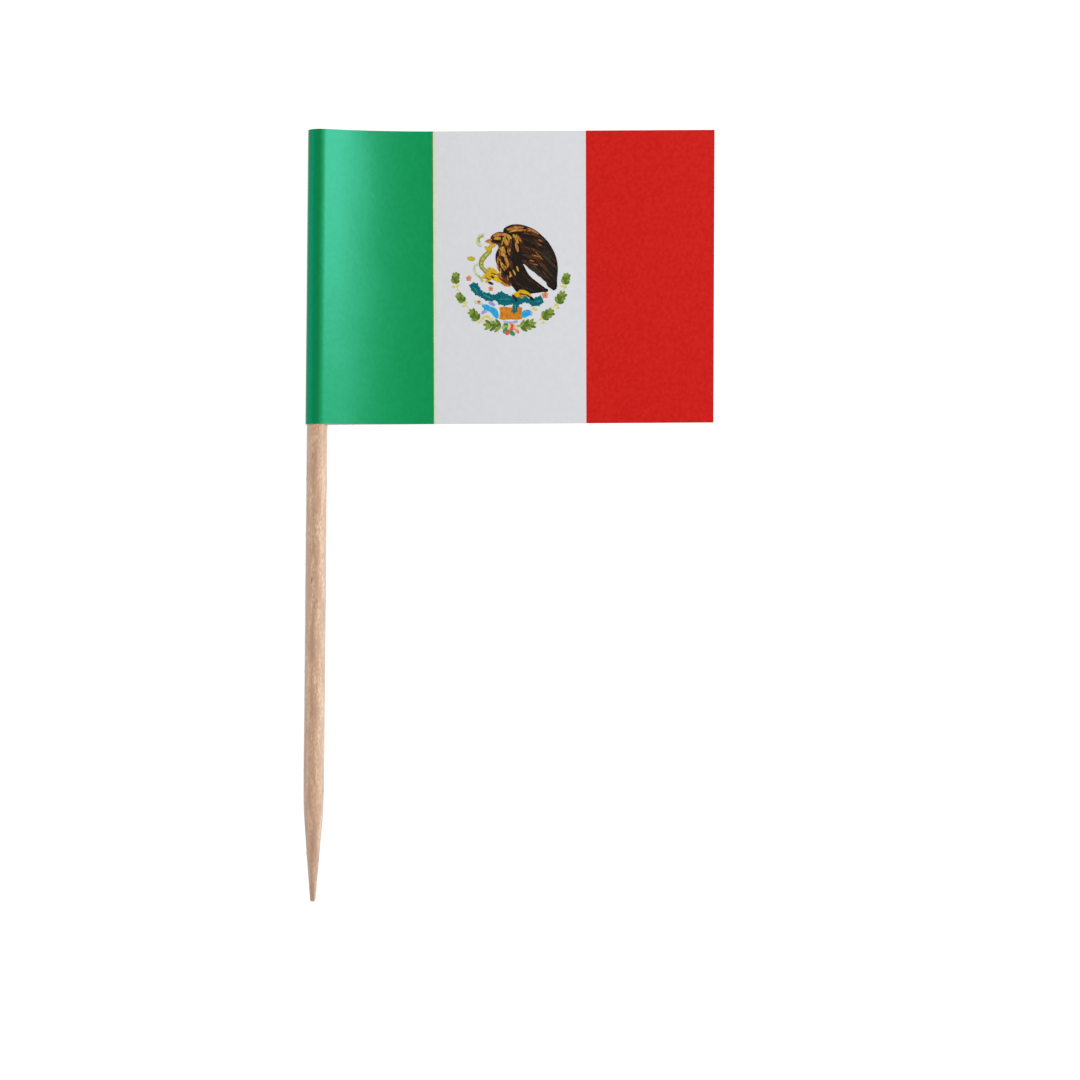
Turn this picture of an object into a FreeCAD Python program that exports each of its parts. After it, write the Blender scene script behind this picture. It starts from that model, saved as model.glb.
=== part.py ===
import FreeCAD, Part
import math
import os
import Sketcher

# Flag toothpick: a round wooden pick with a small paper flag glued round its blunt end.
# It lies as it comes to rest, on the flag's flat back leaf, with +Z up and the point towards -Y.
# Both pieces are drawn with the pick's axis over the Y axis and the tip of the point at Y = 0.

os.makedirs("parts", exist_ok=True)
doc = FreeCAD.newDocument("flag_toothpick")

# Driving dimensions, in millimetres and degrees
DRIVING = {
    # the turned pick
    "pick_length": 65.0,
    "pick_diameter": 1.76,
    "tip_diameter": 0.45,
    "tip_rounding": 0.15,
    "point_half_angle": 4.6,
    "shoulder_radius": 45.0,
    "butt_diameter": 1.52,
    "butt_taper": 25.4,
    "butt_chamfer": 0.1,
    # the folded paper
    "flag_width": 34.7,
    "flag_height": 25.0,
    "paper_thickness": 0.1,
    "glue_film": 0.02,
    "brow_radius": 2.0,
    "leaf_landing": 10.0,
    "glue_nip": 0.06,
    # how the flag sits on the pick and how square it was cut
    "end_inset": 0.6,
    "edge_slope": 0.87,
    "fly_slope": 0.31,
}

dims = doc.addObject("Spreadsheet::Sheet", "Dims")
for row, (alias, number) in enumerate(DRIVING.items(), start=1):
    dims.set(f"A{row}", alias)
    dims.set(f"B{row}", str(number))
    dims.setAlias(f"B{row}", alias)
doc.recompute()


def size(alias):
    """A driving dimension, read from the sheet."""
    return float(dims.get(alias))


# What follows from the driving dimensions: a number for drawing, and the formula that binds it
PICK_RADIUS = "Dims.pick_diameter / 2"
pick_radius = size("pick_diameter") / 2
BUTT_RADIUS = "Dims.butt_diameter / 2"
butt_radius = size("butt_diameter") / 2
TIP_RADIUS = "Dims.tip_diameter / 2"
tip_radius = size("tip_diameter") / 2

EYE_RADIUS = f"({PICK_RADIUS} + Dims.glue_film)"
eye_radius = pick_radius + size("glue_film")
WRAP_RADIUS = f"({EYE_RADIUS} + Dims.paper_thickness)"
wrap_radius = eye_radius + size("paper_thickness")
LEAF_STACK = "Dims.paper_thickness * 2"
leaf_stack = size("paper_thickness") * 2

EXPOSED_LENGTH = "(Dims.pick_length + Dims.end_inset - Dims.flag_height)"
exposed_length = size("pick_length") + size("end_inset") - size("flag_height")
FLAG_TOP = f"({EXPOSED_LENGTH} + Dims.flag_height)"
flag_top = exposed_length + size("flag_height")
FLAG_MIDDLE = f"({EXPOSED_LENGTH} + Dims.flag_height / 2)"
flag_middle = exposed_length + size("flag_height") / 2
FLY_REACH = f"(Dims.flag_width - {WRAP_RADIUS})"
fly_reach = size("flag_width") - wrap_radius

# The strip is folded a little too large and then cut: its waste covers the slope of the cut
WASTE = "(Dims.flag_width * tan(Dims.edge_slope * 1 deg) + Dims.pick_diameter)"
waste = size("flag_width") * math.tan(math.radians(size("edge_slope"))) + size("pick_diameter")

# How a sketch counts the places on a line or an arc: its start, its end and its centre
START, END, CENTRE = range(1, 4)
# How it counts its own axes, the first of which also holds the point where they cross
X_AXIS, Y_AXIS = range(-1, -3, -1)
ORIGIN = X_AXIS


def point(across, along):
    return FreeCAD.Vector(across, along, 0)


def new_sketch(body, name, role):
    """A sketch on one of the body's own origin planes."""
    plane = next(datum for datum in body.Origin.OriginFeatures if datum.Role == role)
    sketch = body.newObject("Sketcher::SketchObject", name)
    sketch.AttachmentSupport = (plane, [""])
    sketch.MapMode = "FlatFace"
    return sketch


def draw_line(sketch, start, end):
    return sketch.addGeometry(Part.LineSegment(start, end), False)


def draw_arc(sketch, centre, radius, first_angle, last_angle):
    """An arc that runs anticlockwise between two angles in radians."""
    circle = Part.Circle(centre, FreeCAD.Vector(0, 0, 1), radius)
    return sketch.addGeometry(Part.ArcOfCircle(circle, first_angle, last_angle), False)


def join(sketch, *places):
    """Bring two ends or centres together: geometry, place, geometry, place."""
    sketch.addConstraint(Sketcher.Constraint("Coincident", *places))


def blend(sketch, *places):
    """Join two ends so that they run smoothly into each other."""
    sketch.addConstraint(Sketcher.Constraint("Tangent", *places))


def level(sketch, line):
    sketch.addConstraint(Sketcher.Constraint("Horizontal", line))


def upright(sketch, line):
    sketch.addConstraint(Sketcher.Constraint("Vertical", line))


def touch(sketch, geometry, place, curve):
    """Hold a point on a line, or on the line's own continuation."""
    sketch.addConstraint(Sketcher.Constraint("PointOnObject", geometry, place, curve))


def measure(sketch, name, kind, places, number, formula):
    """Give a sketch a dimension and bind it to the sheet."""
    index = sketch.addConstraint(Sketcher.Constraint(kind, *places, number))
    sketch.renameConstraint(index, name)
    sketch.setExpression("Constraints." + name, formula)


def draw_turned_profile(body):
    """Half of the pick's outline, from the tip up to the blunt end."""
    sketch = new_sketch(body, "turned_profile", "XY_Plane")
    cone = math.radians(size("point_half_angle"))
    shoulder = size("shoulder_radius")
    rounding = size("tip_rounding")
    chamfer = size("butt_chamfer")
    length = size("pick_length")
    shank_top = length - size("butt_taper")

    cone_top_radius = pick_radius - shoulder * (1 - math.cos(cone))
    cone_top = (cone_top_radius - tip_radius) / math.tan(cone)
    shoulder_top = cone_top + shoulder * math.sin(cone)
    rounding_reach = rounding * math.tan((math.pi / 2 - cone) / 2)
    rounding_centre = point(tip_radius - rounding_reach, rounding)
    cone_start = point(rounding_centre.x + rounding * math.cos(cone), rounding * (1 - math.sin(cone)))
    cone_end = point(cone_top_radius, cone_top)
    taper_end = point(butt_radius, length - chamfer)
    butt_edge = point(butt_radius - chamfer, length)

    axis = draw_line(sketch, point(0, 0), point(0, length))
    tip_flat = draw_line(sketch, point(0, 0), point(rounding_centre.x, 0))
    tip_arc = draw_arc(sketch, rounding_centre, rounding, -math.pi / 2, -cone)
    flank = draw_line(sketch, cone_start, cone_end)
    shoulder_arc = draw_arc(sketch, point(pick_radius - shoulder, shoulder_top), shoulder, -cone, 0)
    shank = draw_line(sketch, point(pick_radius, shoulder_top), point(pick_radius, shank_top))
    taper = draw_line(sketch, point(pick_radius, shank_top), taper_end)
    bevel = draw_line(sketch, taper_end, butt_edge)
    butt = draw_line(sketch, butt_edge, point(0, length))
    tip_corner = sketch.addGeometry(Part.Point(point(tip_radius, 0)), True)

    join(sketch, axis, START, ORIGIN, START)
    upright(sketch, axis)
    join(sketch, tip_flat, START, axis, START)
    level(sketch, tip_flat)
    blend(sketch, tip_flat, END, tip_arc, START)
    blend(sketch, tip_arc, END, flank, START)
    touch(sketch, tip_corner, START, X_AXIS)
    touch(sketch, tip_corner, START, flank)
    blend(sketch, flank, END, shoulder_arc, START)
    blend(sketch, shoulder_arc, END, shank, START)
    upright(sketch, shank)
    join(sketch, shank, END, taper, START)
    join(sketch, taper, END, bevel, START)
    join(sketch, bevel, END, butt, START)
    level(sketch, butt)
    join(sketch, butt, END, axis, END)

    rise = math.pi / 2 - cone
    measure(sketch, "tip_rounding", "Radius", (tip_arc,), rounding, "Dims.tip_rounding")
    measure(sketch, "tip_radius", "DistanceX", (ORIGIN, START, tip_corner, START), tip_radius, TIP_RADIUS)
    measure(sketch, "flank_rise", "Angle", (flank,), rise, "90 deg - Dims.point_half_angle * 1 deg")
    measure(sketch, "shoulder_radius", "Radius", (shoulder_arc,), shoulder, "Dims.shoulder_radius")
    measure(sketch, "shank_radius", "DistanceX", (ORIGIN, START, shank, END), pick_radius, PICK_RADIUS)
    measure(sketch, "shank_top", "DistanceY", (ORIGIN, START, shank, END), shank_top,
            "Dims.pick_length - Dims.butt_taper")
    measure(sketch, "butt_radius", "DistanceX", (ORIGIN, START, taper, END), butt_radius, BUTT_RADIUS)
    measure(sketch, "bevel_across", "DistanceX", (bevel, END, bevel, START), chamfer, "Dims.butt_chamfer")
    measure(sketch, "bevel_along", "DistanceY", (bevel, START, bevel, END), chamfer, "Dims.butt_chamfer")
    measure(sketch, "pick_length", "DistanceY", (ORIGIN, START, axis, END), length, "Dims.pick_length")
    return sketch


def make_wooden_pick():
    """The pick, turned about its own axis and lifted so that it lies inside the fold."""
    body = doc.addObject("PartDesign::Body", "wooden_pick")
    body.Label = "wooden_pick"
    profile = draw_turned_profile(body)
    turning = body.newObject("PartDesign::Revolution", "turning")
    turning.Profile = profile
    turning.ReferenceAxis = (profile, ["V_Axis"])
    turning.Angle = 360
    profile.Visibility = False
    return body


def draw_folded_section(body):
    """The paper's section across the pick: flat back leaf, wrap, brow, and front leaf sloping down."""
    sketch = new_sketch(body, "folded_section", "XZ_Plane")
    paper = size("paper_thickness")
    brow_radius = size("brow_radius")
    landing = size("leaf_landing")
    nip = size("glue_nip")
    strip_end = fly_reach + waste

    # Stiff paper doesn't hug the pick on the flag's side: from the crown it bends down over a wider
    # brow, and then lands smoothly on the back leaf in one hollow arc.
    fall = 2 * wrap_radius - leaf_stack
    hollow = landing ** 2 / (2 * fall) + fall / 2 - brow_radius
    leave = math.asin(landing / (brow_radius + hollow))
    wrap_centre = point(0, wrap_radius)
    brow_centre = point(0, 2 * wrap_radius - brow_radius)
    hollow_centre = point(landing, leaf_stack + hollow)
    inner_hollow = hollow + paper
    nip_back = math.acos((inner_hollow - nip) / inner_hollow)
    nip_end = landing - inner_hollow * math.sin(nip_back)

    down = 1.5 * math.pi
    crown = math.pi / 2
    underside = draw_line(sketch, point(strip_end, 0), point(0, 0))
    wrap = draw_arc(sketch, wrap_centre, wrap_radius, crown, down)
    brow = draw_arc(sketch, brow_centre, brow_radius, crown - leave, crown)
    slope = draw_arc(sketch, hollow_centre, hollow, down - leave, down)
    front = draw_line(sketch, point(landing, leaf_stack), point(strip_end, leaf_stack))
    strip_cut = draw_line(sketch, point(strip_end, leaf_stack), point(strip_end, 0))
    inner_back = draw_line(sketch, point(0, paper), point(nip_end, paper))
    nip_wall = draw_line(sketch, point(nip_end, paper), point(nip_end, paper + nip))
    inner_slope = draw_arc(sketch, hollow_centre, inner_hollow, down - leave, down - nip_back)
    inner_brow = draw_arc(sketch, brow_centre, brow_radius - paper, crown - leave, crown)
    eye = draw_arc(sketch, wrap_centre, eye_radius, crown, down)

    touch(sketch, wrap, CENTRE, Y_AXIS)
    touch(sketch, brow, CENTRE, Y_AXIS)
    blend(sketch, underside, END, wrap, END)
    level(sketch, underside)
    blend(sketch, wrap, START, brow, END)
    blend(sketch, brow, START, slope, START)
    blend(sketch, slope, END, front, START)
    level(sketch, front)
    join(sketch, front, END, strip_cut, START)
    upright(sketch, strip_cut)
    join(sketch, strip_cut, END, underside, START)
    join(sketch, eye, CENTRE, wrap, CENTRE)
    blend(sketch, eye, END, inner_back, START)
    level(sketch, inner_back)
    join(sketch, inner_brow, CENTRE, brow, CENTRE)
    blend(sketch, inner_brow, END, eye, START)
    join(sketch, inner_slope, CENTRE, slope, CENTRE)
    blend(sketch, inner_slope, START, inner_brow, START)
    join(sketch, inner_slope, END, nip_wall, END)
    upright(sketch, nip_wall)
    join(sketch, nip_wall, START, inner_back, END)

    measure(sketch, "axis_height", "DistanceY", (ORIGIN, START, wrap, CENTRE), wrap_radius, WRAP_RADIUS)
    measure(sketch, "wrap_radius", "Radius", (wrap,), wrap_radius, WRAP_RADIUS)
    measure(sketch, "eye_radius", "Radius", (eye,), eye_radius, EYE_RADIUS)
    measure(sketch, "brow_radius", "Radius", (brow,), brow_radius, "Dims.brow_radius")
    measure(sketch, "leaf_stack", "DistanceY", (ORIGIN, START, front, START), leaf_stack, LEAF_STACK)
    measure(sketch, "landing", "DistanceX", (ORIGIN, START, slope, END), landing, "Dims.leaf_landing")
    measure(sketch, "nip_gap", "DistanceY", (nip_wall, START, nip_wall, END), nip, "Dims.glue_nip")
    strip_formula = f"{FLY_REACH} + {WASTE}"
    measure(sketch, "strip_end", "DistanceX", (ORIGIN, START, strip_cut, END), strip_end, strip_formula)
    return sketch


def draw_cutting_frame(body):
    """The waste round the flag, seen from above: a frame whose inside is the flag as it was cut."""
    sketch = new_sketch(body, "cutting_frame", "XY_Plane")
    slope = math.radians(size("edge_slope"))
    lean = math.pi / 2 + math.radians(size("fly_slope"))
    left = -wrap_radius - waste / 2
    rise = math.tan(slope)

    def fly_corner(edge_at_axis):
        """Where an edge that starts at this height over the axis meets the fly edge."""
        over_middle = edge_at_axis + rise * fly_reach - flag_middle
        step = over_middle / (math.tan(lean) - rise)
        return point(fly_reach + step, flag_middle + step * math.tan(lean))

    corners = [
        point(left, exposed_length + rise * left),
        fly_corner(exposed_length),
        fly_corner(flag_top),
        point(left, flag_top + rise * left),
    ]
    bottom, fly, top, back = [
        draw_line(sketch, corners[index], corners[(index + 1) % len(corners)])
        for index in range(len(corners))
    ]
    bottom_mark = sketch.addGeometry(Part.Point(point(0, exposed_length)), True)
    top_mark = sketch.addGeometry(Part.Point(point(0, flag_top)), True)
    fly_mark = sketch.addGeometry(Part.Point(point(fly_reach, flag_middle)), True)

    join(sketch, bottom, END, fly, START)
    join(sketch, fly, END, top, START)
    join(sketch, top, END, back, START)
    join(sketch, back, END, bottom, START)
    upright(sketch, back)
    touch(sketch, bottom_mark, START, Y_AXIS)
    touch(sketch, bottom_mark, START, bottom)
    touch(sketch, top_mark, START, Y_AXIS)
    touch(sketch, top_mark, START, top)
    touch(sketch, fly_mark, START, fly)
    sketch.addConstraint(Sketcher.Constraint("Parallel", bottom, top))

    measure(sketch, "edge_slope", "Angle", (bottom,), slope, "Dims.edge_slope * 1 deg")
    measure(sketch, "fly_lean", "Angle", (fly,), lean, "90 deg + Dims.fly_slope * 1 deg")
    measure(sketch, "bottom_edge", "DistanceY", (ORIGIN, START, bottom_mark, START),
            exposed_length, EXPOSED_LENGTH)
    measure(sketch, "top_edge", "DistanceY", (ORIGIN, START, top_mark, START), flag_top, FLAG_TOP)
    measure(sketch, "fly_reach", "DistanceX", (ORIGIN, START, fly_mark, START), fly_reach, FLY_REACH)
    measure(sketch, "fly_middle", "DistanceY", (ORIGIN, START, fly_mark, START), flag_middle, FLAG_MIDDLE)
    measure(sketch, "back_clear", "DistanceX", (back, END, ORIGIN, START), -left,
            f"{WRAP_RADIUS} + {WASTE} / 2")

    # the outer side of the frame lies outside the uncut strip all round
    outer_left = -wrap_radius - waste
    outer_right = fly_reach + 2 * waste
    outer_low = exposed_length - 2 * waste
    outer_high = flag_top + 2 * waste
    outer_corners = [
        point(outer_left, outer_low),
        point(outer_right, outer_low),
        point(outer_right, outer_high),
        point(outer_left, outer_high),
    ]
    low, right, high, behind = [
        draw_line(sketch, outer_corners[index], outer_corners[(index + 1) % len(outer_corners)])
        for index in range(len(outer_corners))
    ]
    join(sketch, low, END, right, START)
    join(sketch, right, END, high, START)
    join(sketch, high, END, behind, START)
    join(sketch, behind, END, low, START)
    level(sketch, low)
    upright(sketch, right)
    level(sketch, high)
    upright(sketch, behind)
    measure(sketch, "outer_left", "DistanceX", (low, START, ORIGIN, START), -outer_left,
            f"{WRAP_RADIUS} + {WASTE}")
    measure(sketch, "outer_right", "DistanceX", (ORIGIN, START, low, END), outer_right,
            f"{FLY_REACH} + 2 * {WASTE}")
    measure(sketch, "outer_low", "DistanceY", (ORIGIN, START, low, START), outer_low,
            f"{EXPOSED_LENGTH} - 2 * {WASTE}")
    measure(sketch, "outer_high", "DistanceY", (ORIGIN, START, high, START), outer_high,
            f"{FLAG_TOP} + 2 * {WASTE}")
    return sketch


def make_paper_flag():
    """The flag: one strip folded round the pick and glued to itself, then cut to its outline."""
    body = doc.addObject("PartDesign::Body", "paper_flag")
    body.Label = "paper_flag"
    section = draw_folded_section(body)
    section.setExpression(".AttachmentOffset.Base.z", f"{WASTE} - {EXPOSED_LENGTH}")

    strip = body.newObject("PartDesign::Pad", "folded_strip")
    strip.Profile = section
    strip.Reversed = True
    strip.setExpression("Length", f"Dims.flag_height + 2 * {WASTE}")
    section.Visibility = False

    frame = draw_cutting_frame(body)
    cut = body.newObject("PartDesign::Pocket", "cut_to_size")
    cut.Profile = frame
    cut.Type = "ThroughAll"
    cut.Midplane = True
    frame.Visibility = False
    return body


wooden_pick = make_wooden_pick()
paper_flag = make_paper_flag()
pieces = [wooden_pick, paper_flag]
doc.recompute()

# The pick is drawn on the Y axis: inside the fold its axis lies one wrap radius above the table.
# The origin is on the table, under the middle of the whole toothpick.
pick_lift = FreeCAD.Vector(0, 0, wrap_radius)
extent = paper_flag.Shape.optimalBoundingBox()
extent.add(wooden_pick.Shape.optimalBoundingBox())
to_origin = FreeCAD.Vector(-extent.Center.x, -extent.Center.y, 0)
wooden_pick.Placement = FreeCAD.Placement(pick_lift + to_origin, FreeCAD.Rotation())
paper_flag.Placement = FreeCAD.Placement(to_origin, FreeCAD.Rotation())
doc.recompute()

# Nothing is written before every object and every piece has been looked at
for item in doc.Objects:
    if "Invalid" in item.State or "Error" in item.State:
        raise RuntimeError(f"{item.Name} failed: {item.State}")
    if item.isDerivedFrom("Sketcher::SketchObject") and not item.FullyConstrained:
        raise RuntimeError(f"{item.Name} is not fully constrained")
for piece in pieces:
    if piece.Shape.isNull() or not piece.Shape.isValid() or len(piece.Shape.Solids) != 1:
        raise RuntimeError(f"{piece.Label} is not one valid solid")
strip_volume = doc.getObject("folded_strip").Shape.Volume
if paper_flag.Shape.Volume >= strip_volume:
    raise RuntimeError("the cut took no paper away")

for piece in pieces:
    piece.Shape.exportStep(f"parts/{piece.Label}.step")
    print(piece.Label, round(piece.Shape.Volume, 3), "mm3", piece.Shape.BoundBox)
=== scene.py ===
import itertools
import math
import random

import bpy
from mathutils import Matrix, Vector


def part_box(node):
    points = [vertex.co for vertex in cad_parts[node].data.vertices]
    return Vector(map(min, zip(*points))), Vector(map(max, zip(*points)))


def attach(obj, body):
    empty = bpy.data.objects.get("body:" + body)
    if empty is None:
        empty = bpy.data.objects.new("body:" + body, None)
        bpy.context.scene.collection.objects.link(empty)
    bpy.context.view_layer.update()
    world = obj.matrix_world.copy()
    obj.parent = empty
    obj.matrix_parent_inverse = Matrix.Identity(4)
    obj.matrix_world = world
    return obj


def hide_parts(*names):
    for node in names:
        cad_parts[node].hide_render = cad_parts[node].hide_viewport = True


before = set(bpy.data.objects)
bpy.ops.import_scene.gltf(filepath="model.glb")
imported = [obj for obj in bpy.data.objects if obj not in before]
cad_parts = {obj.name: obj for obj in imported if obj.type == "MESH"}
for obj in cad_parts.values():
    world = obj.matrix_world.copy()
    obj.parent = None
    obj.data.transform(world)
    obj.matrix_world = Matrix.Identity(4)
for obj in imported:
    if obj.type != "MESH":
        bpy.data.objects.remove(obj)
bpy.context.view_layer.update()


# The pick: birch, turned to a round and pointed at one end, then tumbled to take off the burrs.
# It is raw wood, so its fibres show, and every cut fibre at its skin is a little rough.
MM = 0.001
pick_low, pick_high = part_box("wooden_pick")
axis_x = (pick_low.x + pick_high.x) / 2
axis_z = (pick_low.z + pick_high.z) / 2
pick_length = pick_high.y - pick_low.y
shank_radius = (pick_high.x - pick_low.x) / 2


def nothing_selected():
    """Go back to object mode, with nothing selected."""
    if bpy.context.mode != "OBJECT":
        bpy.ops.object.mode_set(mode="OBJECT")
    bpy.ops.object.select_all(action="DESELECT")


def take_in_hand(piece):
    """Select one object alone and make it the active one."""
    nothing_selected()
    piece.select_set(True)
    bpy.context.view_layer.objects.active = piece


# The lathe's sizes in millimetres: a rounded tip, a cone, a shoulder arc, and a butt that ends in a chamfer
cone_radius_at_tip, cone_half_angle = 0.225, math.radians(4.6)
tip_edge_radius, tip_length, tip_draws_in = 0.237, 0.15, 0.14
shoulder_radius = 45.0
butt_starts, chamfer_starts, butt_narrows = 39.6, 64.9, 0.12


def turned_radius(along):
    """The lathe's cut: the radius at a distance from the tip, both in millimetres."""
    full = shank_radius / MM
    cone_top = full - shoulder_radius * (1 - math.cos(cone_half_angle))
    cone_end = (cone_top - cone_radius_at_tip) / math.tan(cone_half_angle)
    shoulder_end = cone_end + shoulder_radius * math.sin(cone_half_angle)
    if along < tip_length:
        return tip_edge_radius - tip_draws_in * (1 - math.sqrt(1 - (1 - along / tip_length) ** 2))
    if along < cone_end:
        return cone_radius_at_tip + along * math.tan(cone_half_angle)
    if along < shoulder_end:
        return full - shoulder_radius + math.sqrt(shoulder_radius ** 2 - (shoulder_end - along) ** 2)
    if along < butt_starts:
        return full
    if along < chamfer_starts:
        return full - butt_narrows * (along - butt_starts) / (chamfer_starts - butt_starts)
    return full - butt_narrows - (along - chamfer_starts)


# The profile's stations: close together on the rounded tip, then evenly down to the chamfer
stations = [0.0, 0.01, 0.03, 0.06, 0.1, tip_length]
station_step = 0.25
steps = round((chamfer_starts - tip_length) / station_step)
stations += [tip_length + step * station_step for step in range(1, steps)]
stations += [chamfer_starts, pick_length / MM]

nothing_selected()
bpy.ops.mesh.primitive_circle_add(
    vertices=40, radius=turned_radius(0.0) * MM, fill_type="NGON",
    location=(axis_x, pick_low.y, axis_z), rotation=(math.radians(90), 0, 0))
pick = bpy.context.object
pick.name = "turned_pick"
bpy.ops.object.transform_apply(location=True, rotation=True, scale=True)
bpy.ops.object.mode_set(mode="EDIT")
bpy.ops.mesh.select_all(action="SELECT")
for start, end in zip(stations, stations[1:]):
    bpy.ops.mesh.extrude_region_move(TRANSFORM_OT_translate={"value": (0, (end - start) * MM, 0)})
    swell = turned_radius(end) / turned_radius(start)
    bpy.ops.transform.resize(value=(swell, 1, swell), center_override=(axis_x, pick_low.y + end * MM, axis_z))
bpy.ops.mesh.select_all(action="SELECT")
bpy.ops.mesh.normals_make_consistent(inside=False)
bpy.ops.object.mode_set(mode="OBJECT")

# The skin isn't quite round: soft early wood has worn a little lower than the hard late wood
nothing_selected()
bpy.ops.object.empty_add(location=(axis_x, 0, axis_z))
grain_lie = bpy.context.object
grain_lie.scale = (1 * MM, 9 * MM, 1 * MM)
for wear_name, wear_size, wear_depth in (("worn_broad", 1.1, 0.030), ("worn_fine", 0.28, 0.022)):
    wear = bpy.data.textures.new(wear_name, "CLOUDS")
    wear.noise_scale = wear_size
    wear.noise_depth = 2
    worn = pick.modifiers.new(wear_name, "DISPLACE")
    worn.texture = wear
    worn.texture_coords = "OBJECT"
    worn.texture_coords_object = grain_lie
    worn.mid_level = 0.62
    worn.strength = wear_depth * MM
    take_in_hand(pick)
    bpy.ops.object.modifier_apply(modifier=wear_name)
take_in_hand(pick)
bpy.ops.object.shade_smooth_by_angle(angle=math.radians(40))
bpy.data.objects.remove(grain_lie)


def linear(red, green, blue):
    """A colour as it reads on a screen, 0 to 255, turned into the light it stands for."""
    def one(level):
        level /= 255
        return level / 12.92 if level <= 0.04045 else ((level + 0.055) / 1.055) ** 2.4
    return (one(red), one(green), one(blue), 1.0)


def new_group(name, inputs, outputs):
    """An empty node group with named sockets, and its two end nodes."""
    group = bpy.data.node_groups.new(name, "ShaderNodeTree")
    for label, kind in inputs:
        group.interface.new_socket(name=label, in_out="INPUT", socket_type=kind)
    for label, kind in outputs:
        group.interface.new_socket(name=label, in_out="OUTPUT", socket_type=kind)
    return group, group.nodes.new("NodeGroupInput"), group.nodes.new("NodeGroupOutput")


def noise_layer(tree, vector, stretch, scale, detail, low, high):
    """Noise over stretched coordinates, two levels of it spread to 0 and 1. Its scale may be a socket."""
    mapping = tree.nodes.new("ShaderNodeMapping")
    mapping.inputs["Scale"].default_value = stretch
    noise = tree.nodes.new("ShaderNodeTexNoise")
    if isinstance(scale, (int, float)):
        noise.inputs["Scale"].default_value = scale
    else:
        tree.links.new(scale, noise.inputs["Scale"])
    noise.inputs["Detail"].default_value = detail
    spread = tree.nodes.new("ShaderNodeMapRange")
    spread.inputs["From Min"].default_value = low
    spread.inputs["From Max"].default_value = high
    tree.links.new(vector, mapping.inputs["Vector"])
    tree.links.new(mapping.outputs["Vector"], noise.inputs["Vector"])
    tree.links.new(noise.outputs["Fac"], spread.inputs["Value"])
    return spread.outputs["Result"]


def blend_colours(tree, factor, first, second):
    """A colour mix whose two sides are either fixed colours or sockets."""
    mix = tree.nodes.new("ShaderNodeMix")
    mix.data_type = "RGBA"
    tree.links.new(factor, mix.inputs[0])
    for side, socket in ((first, mix.inputs[6]), (second, mix.inputs[7])):
        if isinstance(side, tuple):
            socket.default_value = side
        else:
            tree.links.new(side, socket)
    return mix.outputs[2]


# Birch grain: broad streaks, fine fibres and a few short reddish flecks, all drawn out along the pick
birch_grain, grain_in, grain_out = new_group(
    "birch grain",
    [("Place", "NodeSocketVector")],
    [("Streaks", "NodeSocketFloat"), ("Fibres", "NodeSocketFloat"), ("Flecks", "NodeSocketFloat"),
     ("Point", "NodeSocketFloat")])
grain_place = grain_in.outputs["Place"]
streaks = noise_layer(
    birch_grain, grain_place, stretch=(1, 0.14, 1), scale=2800, detail=4, low=0.34, high=0.66)
short_fibres = noise_layer(
    birch_grain, grain_place, stretch=(1, 0.32, 1), scale=9500, detail=4, low=0.42, high=0.58)
flecks = noise_layer(
    birch_grain, grain_place, stretch=(1, 0.16, 1), scale=3600, detail=1, low=0.68, high=0.76)
birch_grain.links.new(streaks, grain_out.inputs["Streaks"])
birch_grain.links.new(short_fibres, grain_out.inputs["Fibres"])
birch_grain.links.new(flecks, grain_out.inputs["Flecks"])

# The point is a little darker towards its tip
along_pick = birch_grain.nodes.new("ShaderNodeSeparateXYZ")
birch_grain.links.new(grain_place, along_pick.inputs["Vector"])
tip_darkening = birch_grain.nodes.new("ShaderNodeMapRange")
tip_darkening.inputs["From Min"].default_value = pick_low.y + 1 * MM
tip_darkening.inputs["From Max"].default_value = pick_low.y + 10 * MM
tip_darkening.inputs["To Min"].default_value = 0.28
tip_darkening.inputs["To Max"].default_value = 0.0
birch_grain.links.new(along_pick.outputs["Y"], tip_darkening.inputs["Value"])
birch_grain.links.new(tip_darkening.outputs["Result"], grain_out.inputs["Point"])


def birch(name, pale, dark, fleck):
    """Raw birch from three colours. Its sheen stands for the finest fibres, which are too small to model."""
    material = bpy.data.materials.new(name)
    material.use_nodes = True
    tree = material.node_tree
    skin = tree.nodes["Principled BSDF"]
    skin.inputs["Roughness"].default_value = 0.55
    skin.inputs["Specular IOR Level"].default_value = 0.9
    skin.inputs["Sheen Weight"].default_value = 1.0
    skin.inputs["Sheen Roughness"].default_value = 0.55
    skin.inputs["Subsurface Weight"].default_value = 0.5
    skin.inputs["Subsurface Radius"].default_value = (0.5, 0.3, 0.18)
    skin.inputs["Subsurface Scale"].default_value = 1 * MM
    place = tree.nodes.new("ShaderNodeTexCoord")
    grain = tree.nodes.new("ShaderNodeGroup")
    grain.node_tree = birch_grain
    tree.links.new(place.outputs["Object"], grain.inputs["Place"])
    streaked = blend_colours(tree, grain.outputs["Streaks"], linear(*dark), linear(*pale))
    fibre_dim = tree.nodes.new("ShaderNodeMapRange")
    fibre_dim.inputs["To Min"].default_value = 0.8
    fibre_dim.inputs["To Max"].default_value = 0.0
    tree.links.new(grain.outputs["Fibres"], fibre_dim.inputs["Value"])
    fibrous = blend_colours(tree, fibre_dim.outputs["Result"], streaked, linear(*dark))
    pointed = blend_colours(tree, grain.outputs["Point"], fibrous, linear(*fleck))
    flecked = blend_colours(tree, grain.outputs["Flecks"], pointed, linear(*fleck))
    tree.links.new(flecked, skin.inputs["Base Color"])
    ridges = tree.nodes.new("ShaderNodeBump")
    ridges.inputs["Strength"].default_value = 0.6
    ridges.inputs["Distance"].default_value = 0.016 * MM
    tree.links.new(grain.outputs["Fibres"], ridges.inputs["Height"])
    tree.links.new(ridges.outputs["Normal"], skin.inputs["Normal"])
    return material


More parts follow.
